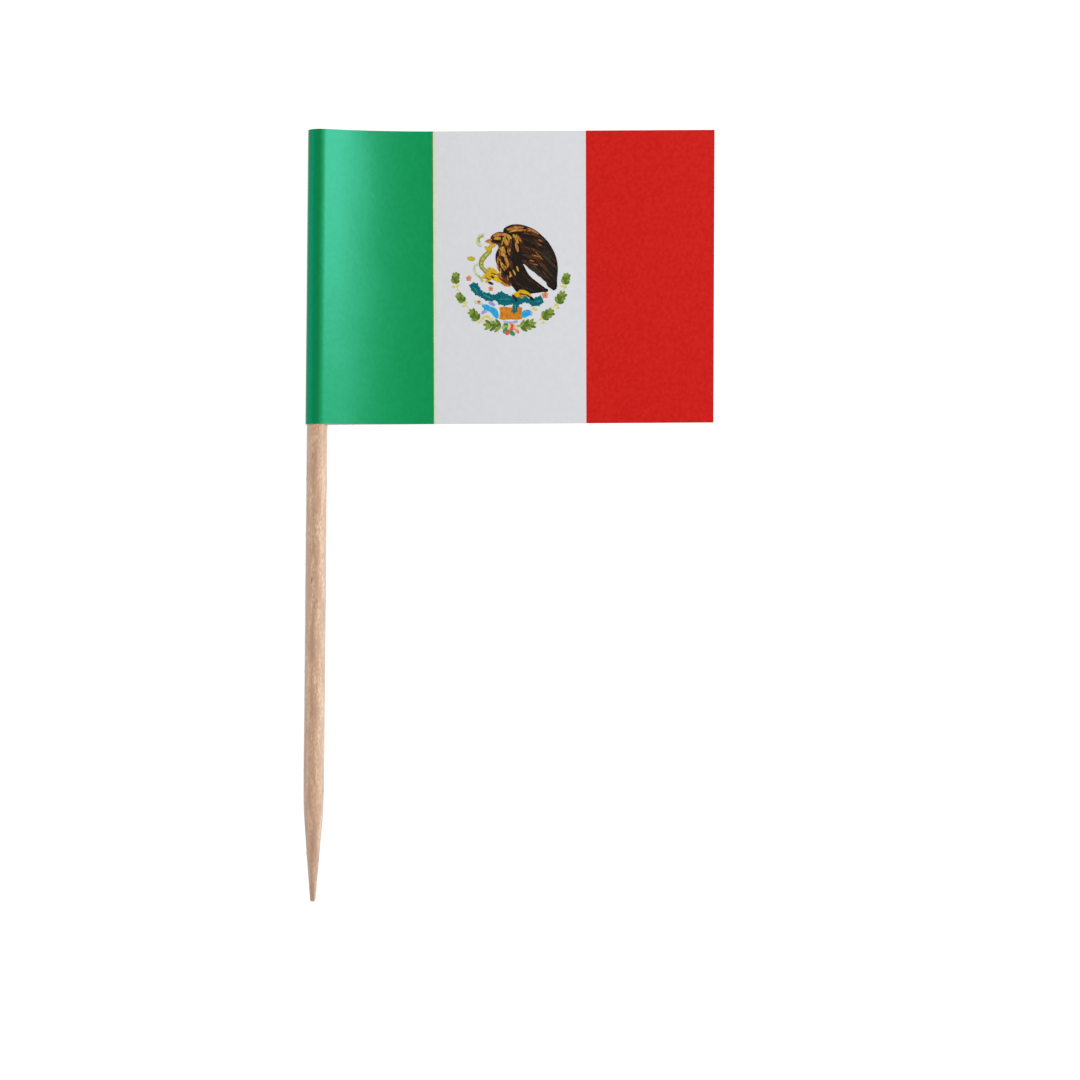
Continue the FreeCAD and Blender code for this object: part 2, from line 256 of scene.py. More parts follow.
raw_birch = birch("raw birch", pale=(217, 178, 138), dark=(171, 125, 87), fleck=(140, 87, 55))
pick.data.materials.append(raw_birch)
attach(pick, "root")
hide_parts("wooden_pick")


# Raised fibres: where the lathe cut across the grain, ends of birch fibre stand off the skin.
# Each is a hair of the same wood, still fixed at its root, and they make the pick's edge a little fuzzy.
hair_length = 0.5 * MM
hair_count = 190

# In millimetres: how deep a hair is rooted, and where hairs grow, two on the bare pick to one on its point
rooted = 0.02
bare_pick, bare_point = (1.5, 40.3), (0.5, 12.0)
random.seed(11)
nothing_selected()
bpy.ops.mesh.primitive_cone_add(
    vertices=4, radius1=0.014 * MM, radius2=0.002 * MM, depth=hair_length, end_fill_type="NGON",
    location=(0, hair_length / 2, 0), rotation=(math.radians(-90), 0, 0))
fibre = bpy.context.object
bpy.ops.object.transform_apply(location=True, rotation=True, scale=True)
fibres = []
for count in range(hair_count):
    along = random.uniform(*(bare_pick if count % 3 else bare_point))
    around = random.uniform(0, 2 * math.pi)
    stretch = random.uniform(0.5, 1.5)
    lift = random.uniform(2, 9)
    if random.random() < 0.5:
        lift = 180 - random.uniform(2, 9)
    hair = fibre.copy()
    hair.data = fibre.data.copy()
    hair.data.transform(Matrix.Rotation(math.radians(lift), 4, "X") @ Matrix.Diagonal((1, stretch, 1, 1)))
    bpy.context.collection.objects.link(hair)
    reach = (turned_radius(along) - rooted) * MM
    hair.rotation_euler = (0, around, 0)
    hair.location = (
        axis_x + reach * math.sin(around), pick_low.y + along * MM, axis_z + reach * math.cos(around))
    fibres.append(hair)
nothing_selected()
for hair in fibres:
    hair.select_set(True)
bpy.context.view_layer.objects.active = fibres[0]
bpy.ops.object.transform_apply(location=True, rotation=True, scale=True)
bpy.ops.object.join()
raised_fibres = bpy.context.object
raised_fibres.name = "raised_fibres"
bpy.data.objects.remove(fibre)
raised_fibres.data.materials.append(raw_birch)
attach(raised_fibres, "root")


# The flag: one strip of coated paper, printed on its outer side, folded round the pick and glued to itself.
# Stiff paper doesn't hug the pick on the flag's side: it bends over a wide brow and lands on the back leaf.
flag_low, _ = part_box("paper_flag")
paper_thickness = 0.1 * MM
leaf_stack = 2 * paper_thickness
wrap_radius = axis_x - flag_low.x

# The fold's arcs are tangent: the brow turns into the hollow, which lands flat on the back leaf
brow_radius = 2.0 * MM
landing = 10.0 * MM
fall = 2 * wrap_radius - leaf_stack
hollow_radius = landing ** 2 / (2 * fall) + fall / 2 - brow_radius
brow_angle = math.asin(landing / (brow_radius + hollow_radius))

# The edges: the upper and lower ones rise a little towards the fly, and the fly leans a little
edge_slope = math.radians(0.87)
fly_slope = math.radians(0.31)
flag_height = 25.0 * MM
flag_bottom = flag_low.y + wrap_radius * math.tan(edge_slope)
flag_top = flag_bottom + flag_height
flag_middle = (flag_bottom + flag_top) / 2
fly_reach = 33.7 * MM
waste = 2 * MM

# The back leaf first, then round the pick, over the brow, down the hollow and along the front leaf
nothing_selected()
strip_low, strip_high = flag_low.y - waste, flag_top + 2 * waste
bpy.ops.mesh.primitive_plane_add(
    size=1, location=(axis_x + (fly_reach + waste) / 2, (strip_low + strip_high) / 2, 0))
flag = bpy.context.object
flag.name = "folded_flag"
flag.scale = (fly_reach + waste, strip_high - strip_low, 1)
bpy.ops.object.transform_apply(location=True, rotation=True, scale=True)
bpy.ops.object.mode_set(mode="EDIT")
bpy.ops.mesh.select_mode(type="EDGE")
bpy.ops.mesh.select_all(action="DESELECT")
bpy.ops.object.mode_set(mode="OBJECT")
for edge in flag.data.edges:
    edge.select = all(flag.data.vertices[end].co.x < axis_x + 0.01 * MM for end in edge.vertices)
bpy.ops.object.mode_set(mode="EDIT")
bpy.ops.mesh.spin(steps=28, angle=-math.pi, center=(axis_x, 0, wrap_radius), axis=(0, 1, 0))
bpy.ops.mesh.spin(
    steps=14, angle=-brow_angle, center=(axis_x, 0, 2 * wrap_radius - brow_radius), axis=(0, 1, 0))
bpy.ops.mesh.spin(
    steps=28, angle=brow_angle, center=(axis_x + landing, 0, leaf_stack + hollow_radius), axis=(0, 1, 0))
bpy.ops.mesh.extrude_region_move(TRANSFORM_OT_translate={"value": (fly_reach + waste - landing, 0, 0)})
bpy.ops.mesh.select_all(action="SELECT")
bpy.ops.mesh.remove_doubles(threshold=0.0005 * MM)
bpy.ops.object.mode_set(mode="OBJECT")

# The printed side faces outwards, which is down on the back leaf
back_leaf = min(flag.data.polygons, key=lambda face: face.center.z)
if back_leaf.normal.z > 0:
    bpy.ops.object.mode_set(mode="EDIT")
    bpy.ops.mesh.select_all(action="SELECT")
    bpy.ops.mesh.flip_normals()
    bpy.ops.object.mode_set(mode="OBJECT")


def cut(place, facing, waste_off=False):
    """In edit mode, cut all of the sheet along an upright plane. The side it faces may go as waste."""
    bpy.ops.mesh.select_all(action="SELECT")
    bpy.ops.mesh.bisect(plane_co=place, plane_no=facing, clear_outer=waste_off, threshold=1e-7)


# The guillotine's three cuts, a little out of square, as the printed strip was not quite straight in it
bpy.ops.object.mode_set(mode="EDIT")
cut((axis_x, flag_bottom, 0), (math.sin(edge_slope), -math.cos(edge_slope), 0), waste_off=True)
cut((axis_x, flag_top, 0), (-math.sin(edge_slope), math.cos(edge_slope), 0), waste_off=True)
cut((axis_x + fly_reach, flag_middle, 0), (math.cos(fly_slope), math.sin(fly_slope), 0), waste_off=True)

# Where one ink ends and the next begins, across the fold, with the print's own lean
borders = {
    "overprint_starts": (9.66 * MM, math.radians(0.80)),
    "green_ends": (9.74 * MM, math.radians(0.80)),
    "white_starts": (9.95 * MM, math.radians(0.80)),
    "red_starts": (22.77 * MM, math.radians(0.65)),
}
for reach, lean in borders.values():
    cut((axis_x + reach, flag_middle, 0), (math.cos(lean), math.sin(lean), 0))

# The free span between the wrap and the glue is a little wavy, as damp glue leaves it, so it is cut into rows
row_height = 0.52 * MM
row_count = 50
for row in range(1, row_count):
    cut((0, flag_low.y + row * row_height, 0), (0, 1, 0))
bpy.ops.object.mode_set(mode="OBJECT")

# The waves fade to nothing at the wrap and at the glue
free_span = flag.vertex_groups.new(name="free span")
for vertex in flag.data.vertices:
    reach = (vertex.co.x - axis_x) / landing
    if vertex.co.z > leaf_stack and 0.02 < reach < 0.98:
        free_span.add([vertex.index], math.sin(math.pi * reach) ** 0.6, "REPLACE")
ripple = bpy.data.textures.new("glue ripple", "CLOUDS")
ripple.noise_scale = 4.5 * MM
ripple.noise_depth = 1
rippled = flag.modifiers.new("ripple", "DISPLACE")
rippled.texture = ripple
rippled.texture_coords = "LOCAL"
rippled.vertex_group = "free span"
rippled.direction = "Z"
rippled.mid_level = 0.5
rippled.strength = 0.05 * MM
take_in_hand(flag)
bpy.ops.object.modifier_apply(modifier="ripple")

# Paper under ink: a cloudy formation, a mottle where the ink lies thin, and a tooth the coating doesn't level
paper_fibres, paper_in, paper_out = new_group(
    "paper fibres",
    [("Place", "NodeSocketVector"), ("Mottle Scale", "NodeSocketFloat")],
    [("Cloud", "NodeSocketFloat"), ("Mottle", "NodeSocketFloat"), ("Tooth", "NodeSocketFloat")])
paper_place = paper_in.outputs["Place"]
cloud = noise_layer(
    paper_fibres, paper_place, stretch=(1, 1, 1), scale=420, detail=3, low=0.3, high=0.7)
ink_mottle = noise_layer(
    paper_fibres, paper_place, stretch=(1, 0.8, 1), scale=paper_in.outputs["Mottle Scale"],
    detail=3, low=0.36, high=0.64)
fine_tooth = noise_layer(
    paper_fibres, paper_place, stretch=(1, 0.7, 1), scale=3800, detail=2, low=0.25, high=0.75)
paper_fibres.links.new(cloud, paper_out.inputs["Cloud"])
paper_fibres.links.new(ink_mottle, paper_out.inputs["Mottle"])
paper_fibres.links.new(fine_tooth, paper_out.inputs["Tooth"])


def coated_paper(
        name, ink, thin, tint=(1, 1, 1, 1), gloss=0.4, shine=0.3,
        tooth=1.0, uneven=0.6, mottle=2600, crown_shade=0.0):
    """Coated paper under one ink, which lies thin here and there, with an optional painted shade along the
    crown of the fold.
    """
    material = bpy.data.materials.new(name)
    material.use_nodes = True
    tree = material.node_tree
    skin = tree.nodes["Principled BSDF"]
    skin.inputs["Roughness"].default_value = gloss
    skin.inputs["Specular IOR Level"].default_value = shine
    skin.inputs["Specular Tint"].default_value = tint
    place = tree.nodes.new("ShaderNodeTexCoord")
    fibres_node = tree.nodes.new("ShaderNodeGroup")
    fibres_node.node_tree = paper_fibres
    tree.links.new(place.outputs["Object"], fibres_node.inputs["Place"])
    fibres_node.inputs["Mottle Scale"].default_value = mottle
    clouding = tree.nodes.new("ShaderNodeMapRange")
    clouding.inputs["To Max"].default_value = uneven / 4
    tree.links.new(fibres_node.outputs["Cloud"], clouding.inputs["Value"])
    clouded = blend_colours(tree, clouding.outputs["Result"], linear(*ink), linear(*thin))
    thinning = tree.nodes.new("ShaderNodeMapRange")
    thinning.inputs["To Max"].default_value = uneven
    tree.links.new(fibres_node.outputs["Mottle"], thinning.inputs["Value"])
    mottled = blend_colours(tree, thinning.outputs["Result"], clouded, linear(*thin))
    # Painted shade: a dark line along the crown of the fold, standing in for the dark reflection there.
    if crown_shade:
        across = tree.nodes.new("ShaderNodeSeparateXYZ")
        tree.links.new(place.outputs["Object"], across.inputs["Vector"])
        from_crown = tree.nodes.new("ShaderNodeMath")
        from_crown.operation = "SUBTRACT"
        from_crown.inputs[1].default_value = axis_x
        tree.links.new(across.outputs["X"], from_crown.inputs[0])
        distance = tree.nodes.new("ShaderNodeMath")
        distance.operation = "ABSOLUTE"
        tree.links.new(from_crown.outputs[0], distance.inputs[0])
        crown_shade_mask = tree.nodes.new("ShaderNodeMapRange")
        crown_shade_mask.interpolation_type = "SMOOTHSTEP"
        crown_shade_mask.inputs["From Min"].default_value = 0.05 * MM
        crown_shade_mask.inputs["From Max"].default_value = 0.38 * MM
        crown_shade_mask.inputs["To Min"].default_value = crown_shade
        crown_shade_mask.inputs["To Max"].default_value = 0.0
        tree.links.new(distance.outputs[0], crown_shade_mask.inputs["Value"])
        mottled = blend_colours(tree, crown_shade_mask.outputs["Result"], mottled, (0, 0, 0, 1))
    tree.links.new(mottled, skin.inputs["Base Color"])
    bump = tree.nodes.new("ShaderNodeBump")
    bump.inputs["Strength"].default_value = 0.7
    bump.inputs["Distance"].default_value = tooth * 0.003 * MM
    tree.links.new(fibres_node.outputs["Tooth"], bump.inputs["Height"])
    tree.links.new(bump.outputs["Normal"], skin.inputs["Normal"])
    return material


green_ink = coated_paper(
    "green ink", (0, 129, 60), (0, 138, 70), tint=(0.23, 1.0, 0.96, 1), gloss=0.335, shine=0.45, crown_shade=0.30)
# Painted shade: a copy of the green for the side of the wrap that bends away, bluer and less glossy, for how
# light falls there.
shaded_side_green = coated_paper(
    "green ink with painted shade on the bend", (0, 131, 80), (0, 139, 89),
    tint=(0.0, 1.0, 0.96, 1), gloss=0.335, shine=0.2, crown_shade=0.30)
white_paper = coated_paper(
    "white coated paper", (209, 208, 210), (214, 213, 215), gloss=0.42, shine=0.2, tooth=0.5)
red_ink = coated_paper(
    "red ink", (188, 17, 15), (204, 32, 26),
    tint=(1.0, 0.3, 0.25, 1), gloss=0.42, shine=0.25, mottle=3700, uneven=0.62)
thin_strip = coated_paper("thin edge of the green", (196, 211, 172), (208, 219, 192), gloss=0.42, shine=0.2)
overprint = coated_paper("green over yellow", (58, 112, 46), (84, 128, 60), gloss=0.4, shine=0.2)
paper_core = coated_paper(
    "uncoated paper", (236, 235, 230), (226, 224, 218), gloss=0.85, shine=0.1, tooth=2.0)
flag_inks = [green_ink, white_paper, red_ink, thin_strip, overprint, shaded_side_green, paper_core]
for ink in flag_inks:
    flag.data.materials.append(ink)


def past(name, place):
    """Whether a place on the flag lies beyond one of the print's borders."""
    reach, lean = borders[name]
    return place.x - axis_x > reach - math.tan(lean) * (place.y - flag_middle)


# Left of this the green bends down round the pick. There it has its own bluer, less glossy copy of the green
# ink: painted shade for how that side is lit.
bend_starts = axis_x - 0.25 * MM
for face in flag.data.polygons:
    if past("red_starts", face.center):
        ink = red_ink
    elif past("white_starts", face.center):
        ink = white_paper
    elif past("green_ends", face.center):
        ink = thin_strip
    elif past("overprint_starts", face.center):
        ink = overprint
    elif face.center.x < bend_starts:
        ink = shaded_side_green
    else:
        ink = green_ink
    face.material_index = flag_inks.index(ink)

# The paper's thickness goes inwards, and its inner side and cut edges are bare
thickness = flag.modifiers.new("paper", "SOLIDIFY")
thickness.thickness = paper_thickness
thickness.offset = -1
thickness.use_even_offset = True
thickness.material_offset = flag_inks.index(paper_core)
thickness.material_offset_rim = flag_inks.index(paper_core)
take_in_hand(flag)
bpy.ops.object.modifier_apply(modifier="paper")
bpy.ops.object.shade_smooth_by_angle(angle=math.radians(35))
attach(flag, "root")
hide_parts("paper_flag")


# The emblem: an eagle with a snake over a cactus on a rock in water, in a half wreath tied with a ribbon.
# It is a national figure, drawn anew here in simple fields of ink, printed in the middle of both sides.
emblem_place = Vector((axis_x + 16.36 * MM, flag_middle + 0.02 * MM, leaf_stack))
emblem_turn = math.radians(0.54)
# Each field's place in the order of printing. Places are used again where fields can't meet.
print_order = itertools.count()

ink_colours = {
    "night": ((14, 9, 7), (32, 20, 13)),
    "dark": ((28, 17, 10), (64, 38, 20)),
    "brown": ((98, 58, 28), (42, 26, 15)),
    "moss": ((24, 25, 18), (60, 62, 46)),
    "tan": ((200, 128, 62), (136, 80, 38)),
    "gold": ((208, 166, 58), (146, 98, 36)),
    "yellow": ((214, 176, 14), (186, 142, 28)),
    "bark": ((112, 114, 42), (138, 142, 64)),
    "olive": ((146, 148, 48), (178, 176, 92)),
    "pale": ((172, 186, 136), (200, 206, 176)),
    "teal": ((0, 84, 98), (0, 106, 114)),
    "orange": ((208, 138, 26), (190, 104, 28)),
    "sky": ((8, 148, 200), (60, 166, 206)),
    "violet": ((128, 130, 192), (176, 176, 210)),
    "coral": ((206, 104, 74), (216, 154, 124)),
    "leaf": ((106, 130, 30), (136, 152, 72)),
    "deep": ((68, 96, 22), (98, 120, 44)),
    "bud": ((200, 186, 88), (214, 206, 146)),
    "ribbon green": ((34, 114, 78), (80, 148, 112)),
    "ribbon red": ((204, 62, 42), (216, 108, 90)),
}
inks = {
    name: coated_paper("ink " + name, ink, thin, shine=0.08, gloss=0.5, uneven=0.85, mottle=4200)
    for name, (ink, thin) in ink_colours.items()
}


def ink_height():
    """In tenths of a millimetre. Each ink lies on those before it, by far less than a real film of ink."""
    first, rise = 0.03, 0.0008
    return first + rise * next(print_order)


def ink_field(ink, outline, smooth=True):
    """One field of ink, from a closed outline in tenths of a millimetre about the emblem's middle."""
    drawn = bpy.data.curves.new("ink outline", "CURVE")
    drawn.dimensions = "2D"
    drawn.fill_mode = "BOTH"
    drawn.resolution_u = 5 if smooth else 1
    drawn.extrude = 0.5  # so it is one unit high, and its scale along z is its height
    spline = drawn.splines.new("BEZIER")
    spline.bezier_points.add(len(outline) - 1)
    for knot, (across, up) in zip(spline.bezier_points, outline):
        knot.co = (across, up, 0)
        knot.handle_left_type = knot.handle_right_type = "AUTO" if smooth else "VECTOR"
    spline.use_cyclic_u = True
    field = bpy.data.objects.new("ink field", drawn)
    bpy.context.collection.objects.link(field)
    take_in_hand(field)
    bpy.ops.object.convert(target="MESH")
    field = bpy.context.object
    field.data.materials.append(inks[ink])
    field.scale.z = ink_height()
    field.location.z = field.scale.z / 2
    return field


def ink_copy(model, ink, root, tip, width):
    """A copy of a feather, leaf or dot that was drawn once, laid from its root to its tip."""
    copy = model.copy()
    copy.data = model.data.copy()
    bpy.context.collection.objects.link(copy)
    copy.data.materials.clear()
    copy.data.materials.append(inks[ink])
    height = ink_height()
    across, up = tip[0] - root[0], tip[1] - root[1]
    copy.location = (root[0], root[1], height / 2)
    copy.rotation_euler.z = math.atan2(up, across)
    copy.scale = (math.hypot(across, up), width, height)
    return copy


def stroke(ink, path, width):
    """A stroke of ink along a path, such as a stem or a snake's bend, and 0.6 as wide at its two ends."""
    left, right = [], []
    for index, (across, up) in enumerate(path):
        before, after = path[max(index - 1, 0)], path[min(index + 1, len(path) - 1)]
        run = math.hypot(after[0] - before[0], after[1] - before[1])
        share = index / (len(path) - 1)
        half = width / 2 * (0.35 + 0.65 * math.sin(math.pi * (0.12 + 0.76 * share)))
        step_across, step_up = -(after[1] - before[1]) / run * half, (after[0] - before[0]) / run * half
        left.append((across + step_across, up + step_up))
        right.append((across - step_across, up - step_up))
    return ink_field(ink, left + right[::-1])


def walk(path, share):
    """The place at a share of the way along a path of points."""
    place = share * (len(path) - 1)
    index = min(int(place), len(path) - 2)
    (x0, y0), (x1, y1) = path[index], path[index + 1]
    return (x0 + (x1 - x0) * (place - index), y0 + (y1 - y0) * (place - index))


def printed(name, fields):
    """Join fields of ink into one piece, lay it on the front, and print it mirrored on the back too."""
    nothing_selected()
    for field in fields:
        field.select_set(True)
    bpy.context.view_layer.objects.active = fields[0]
    bpy.ops.object.transform_apply(location=True, rotation=True, scale=True)
    bpy.ops.object.join()
    front = bpy.context.object
    front.name = name + "_front"
    tenth = 0.1 * MM
    front.scale = (tenth, tenth, tenth)
    front.rotation_euler.z = emblem_turn
    front.location = emblem_place
    bpy.ops.object.transform_apply(location=True, rotation=True, scale=True)
    bpy.ops.object.duplicate()
    back = bpy.context.object
    back.name = name + "_back"
    back.scale.z = -1
    back.location.z = leaf_stack
    bpy.ops.object.transform_apply(location=True, rotation=True, scale=True)
    bpy.ops.object.mode_set(mode="EDIT")
    bpy.ops.mesh.select_all(action="SELECT")
    bpy.ops.mesh.flip_normals()
    bpy.ops.object.mode_set(mode="OBJECT")
    for piece in (front, back):
        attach(piece, "root")


# What repeats is drawn once: a feather or leaf with a point, and a round dot
feather = ink_field("night", [(0, 0), (0.3, 0.42), (0.7, 0.4), (1, 0), (0.7, -0.4), (0.3, -0.42)])
dot = ink_field("night", [(0, 0), (0.5, 0.5), (1, 0), (0.5, -0.5)])

# The rock and the water that it stands in, with a shell on each side
water = [
    ink_field("orange", [
        (-9.9, -23.5), (-6.5, -22.7), (-0.3, -23.5), (5.9, -22.6), (9.9, -23.7), (9.0, -28.8), (9.9, -33.4),
        (5.1, -34.2), (-0.3, -33.6), (-6.5, -34.3), (-10.0, -33.3), (-9.3, -28.8)], smooth=False),
    ink_field("sky", [
        (-24.9, -22.1), (-22.0, -20.7), (-17.3, -22.6), (-12.4, -24.9), (-10.7, -28.8), (-11.1, -32.8),
        (-14.1, -32.0), (-17.3, -28.0), (-21.3, -26.3), (-24.6, -27.8), (-23.0, -24.9)]),
    ink_field("sky", [
        (9.6, -27.1), (13.6, -25.4), (17.0, -26.3), (17.6, -28.3), (14.4, -31.1), (9.9, -32.0)]),
    stroke("violet", [(-18.9, -18.9), (-16.6, -20.3), (-13.9, -21.8)], 3.0),
    stroke("violet", [(-25.1, -28.9), (-22.7, -27.2), (-20.4, -26.6)], 2.6),
    stroke("violet", [(-6.5, -35.6), (-0.3, -36.5), (5.9, -35.4)], 1.6),
    stroke("violet", [(16.7, -26.5), (17.8, -28.8), (16.7, -30.5)], 1.8),
    stroke("bud", [(-24.3, -32.6), (-20.4, -31.2), (-17.3, -33.4), (-15.0, -33.9)], 2.6),
    stroke("bud", [(17.5, -25.2), (20.1, -24.9), (22.3, -25.8)], 2.6),
    stroke("pale", [(-31.2, -17.9), (-28.2, -20.0), (-24.3, -20.3)], 2.0),
]
for crack in range(5):
    top = walk([(-7.3, -24.5), (7.4, -24.5)], crack / 4)
    foot = (top[0] + (crack - 2) * 0.3, top[1] - 7.5)
    water.append(ink_copy(feather, "tan", top, foot, 0.6 + 0.2 * (crack % 2)))
printed("emblem_water", water)

# The cactus: flat teal pads with bumps round their edges, flowers of coral and tan, and a fruit on the left
pads = [
    [(-35.0, -4.6), (-31.9, -2.6), (-28.8, -3.4), (-26.9, -6.8), (-24.9, -9.6), (-24.3, -12.5),
     (-26.9, -13.6), (-30.0, -12.5), (-33.4, -8.7)],
    [(-26.6, -11.1), (-23.0, -10.7), (-18.9, -11.4), (-15.0, -12.8), (-12.2, -12.5), (-12.8, -16.4),
     (-16.4, -17.9), (-21.2, -17.3), (-25.1, -14.7)],
    [(-13.8, -13.3), (-10.5, -11.1), (-8.0, -10.2), (-3.4, -12.5), (1.2, -14.4), (3.4, -17.3), (0.2, -20.6),
     (-5.6, -21.7), (-10.2, -20.4), (-12.5, -17.3)],
    [(1.2, -18.6), (5.1, -14.5), (11.3, -13.1), (16.7, -16.4), (21.3, -15.2), (25.1, -13.9), (27.2, -18.9),
     (23.7, -21.7), (18.3, -22.0), (13.6, -19.3), (9.0, -20.1), (6.0, -22.6), (5.1, -26.6), (2.6, -28.0),
     (1.1, -26.5), (1.9, -22.7)],
]
cactus = [ink_field("teal", pad) for pad in pads]
for pad in pads:
    print_order = itertools.count(20)
    for across, up in pad:
        cactus.append(ink_copy(dot, "teal", (across - 0.9, up), (across + 0.9, up), 1.6))
ribs = [
    ((-32.8, -5.6), (-27.4, -11.8)), ((-23.5, -12.5), (-15.0, -16.4)), ((-10.4, -16.4), (-0.3, -16.4)),
    ((19.8, -18.7), (26.0, -17.9)), ((3.6, -20.3), (3.6, -26.5)),
]
for root, tip in ribs:
    cactus.append(ink_copy(feather, "ribbon green", root, tip, 0.8))
flowers = [
    (-35.9, 1.4, 5.1, "coral"), (-17.3, -7.5, 4.5, "coral"), (29.1, -12.9, 5.9, "coral"),
    (-27.4, -18.7, 3.1, "tan"),
]
for across, up, size, petal in flowers:
    print_order = itertools.count(45)
    for turn in range(5):
        angle = math.radians(90 + 72 * turn)
        tip = (across + size / 2 * math.cos(angle), up + size / 2 * math.sin(angle))
        cactus.append(ink_copy(feather, petal, (across, up), tip, size * 0.5))
    cactus.append(ink_copy(dot, "tan", (across - 0.7, up), (across + 0.7, up), 1.3))
cactus.append(ink_copy(dot, "olive", (-37.3, 18.4), (-30.5, 17.8), 4.0))
cactus.append(ink_copy(dot, "yellow", (-36.2, 18.6), (-32.6, 17.9), 3.0))
printed("emblem_cactus", cactus)

# The wreath: sprigs of oak and laurel, all of one leaf, on two stems with yellow buds between the sprigs
print_order = itertools.count()
wreath = [
    stroke("bud", [
        (-47.6, 6.0), (-46.7, -3.2), (-42.7, -14.1), (-37.4, -22.6), (-31.2, -30.3), (-22.7, -36.5),
        (-14.2, -39.4), (-6.5, -39.8)], 0.9),
    stroke("bud", [
        (47.3, 5.3), (45.9, -5.6), (42.2, -15.6), (36.0, -24.1), (28.3, -31.1), (20.6, -36.5),
        (13.6, -39.0), (6.7, -39.8)], 0.9),
]
sprigs = [
    ((-48.0, -2.9), (-46.6, 6.7)), ((-40.4, -18.7), (-46.2, -11.4)), ((-28.2, -34.2), (-35.1, -25.1)),
    ((-8.7, -39.3), (-23.7, -38.2)), ((8.2, -40.1), (21.5, -36.5)), ((26.8, -32.2), (36.7, -25.8)),
    ((39.6, -19.6), (45.8, -9.9)), ((45.8, -3.4), (48.3, 6.0)),
]
# Each sprig's leaves: how far up it they grow, how wide they spread in degrees, and their ink
sprig_leaves = [
    (0.0, 48, "leaf"), (0.0, -48, "deep"), (0.24, 42, "deep"), (0.24, -42, "leaf"), (0.5, 34, "leaf"),
    (0.5, -34, "deep"), (0.5, 0, "leaf"), (0.1, 0, "deep"),
]
for foot, head in sprigs:
    length = math.hypot(head[0] - foot[0], head[1] - foot[1])
    lie = math.atan2(head[1] - foot[1], head[0] - foot[0])
    print_order = itertools.count(2)
    for share, spread, ink in sprig_leaves:
        root = walk([foot, head], share)
        angle = lie + math.radians(spread)
        reach = length * (0.5 if spread else 0.52)
        tip = (root[0] + reach * math.cos(angle), root[1] + reach * math.sin(angle))
        wreath.append(ink_copy(feather, ink, root, tip, 3.2))
buds = [
    (-45.9, -5.2), (-49.0, -6.3), (-38.2, -19.9), (-40.4, -22.6), (-24.3, -33.1), (-27.5, -36.5),
    (25.8, -33.6), (27.7, -36.5), (38.7, -21.8), (39.9, -24.1), (46.4, -6.3), (43.9, -5.6),
]
for across, up in buds:
    wreath.append(ink_copy(dot, "bud", (across - 1.5, up), (across + 1.5, up + 0.6), 2.4))
printed("emblem_wreath", wreath)

# The ribbon: green, white and red tails from the knot where the two stems cross
ribbon = []
print_order = itertools.count(24)
folds = [
    ("ribbon green", [(-2.5, -38.4), (-2.9, -41.1), (-6.0, -45.2)], 4.4),
    ("ribbon red", [(-0.2, -37.7), (0.9, -40.1), (1.2, -42.7)], 3.6),
    ("ribbon red", [(-0.3, -41.6), (-1.9, -44.2), (-4.0, -46.6)], 3.4),
    ("ribbon green", [(-0.2, -43.5), (1.4, -45.9), (3.2, -46.7)], 3.6),
    ("coral", [(2.2, -39.8), (5.1, -43.2), (6.5, -45.5)], 2.6),
    ("olive", [(5.1, -39.0), (7.4, -39.3), (9.7, -38.5)], 2.0),
    ("olive", [(-3.1, -39.3), (-6.5, -40.1), (-7.3, -42.1)], 1.8),
    ("bud", [(-1.9, -37.0), (-1.4, -39.3), (-2.5, -42.1)], 2.0),
    ("bud", [(2.8, -38.1), (4.0, -40.4), (6.0, -42.1)], 1.8),
    ("ribbon green", [(-6.5, -38.4), (-4.6, -37.6), (-2.5, -38.5)], 1.6),
]
for ink, path, width in folds:
    ribbon.append(stroke(ink, path, width))
printed("emblem_ribbon", ribbon)

# The snake: held by beak and claw, its head up on the left and its tail in a loop below
print_order = itertools.count(52)
snake = [
    stroke("pale", [(-23.0, 38.4), (-25.7, 38.1), (-27.8, 35.3), (-27.8, 31.4), (-25.4, 28.5)], 3.2),
    stroke("olive", [(-23.7, 37.3), (-26.6, 36.2), (-27.4, 33.6), (-26.6, 31.9)], 1.8),
    stroke("bark", [
        (-13.9, 30.0), (-17.3, 28.3), (-18.3, 24.6), (-22.0, 20.7), (-24.9, 16.5), (-25.4, 12.2),
        (-23.4, 9.1), (-19.6, 6.0)], 4.3),
    stroke("olive", [
        (-14.2, 29.9), (-17.1, 28.2), (-18.4, 24.6), (-21.8, 20.9), (-24.7, 16.5), (-25.1, 12.2),
        (-23.2, 9.3), (-19.6, 6.3)], 2.3),
    stroke("yellow", [(-14.2, 30.6), (-17.3, 28.8), (-18.4, 26.1), (-22.0, 28.3)], 2.8),
    stroke("pale", [(-28.2, 13.4), (-30.9, 11.4), (-30.9, 6.8), (-28.2, 3.6), (-24.3, 1.4)], 2.2),
    stroke("olive", [(-28.2, 3.6), (-25.8, 1.4), (-24.3, -1.7)], 1.4),
]
snake_back = [(-17.6, 26.1), (-22.0, 20.6), (-24.9, 16.1), (-25.2, 12.2), (-23.0, 8.7)]
for scale in range(1, 10):
    across, up = walk(snake_back, scale / 10)
    scale_ink = "bark" if scale % 2 else "bud"
    snake.append(ink_copy(dot, scale_ink, (across - 0.7, up), (across + 0.7, up), 0.8))
printed("emblem_snake", snake)

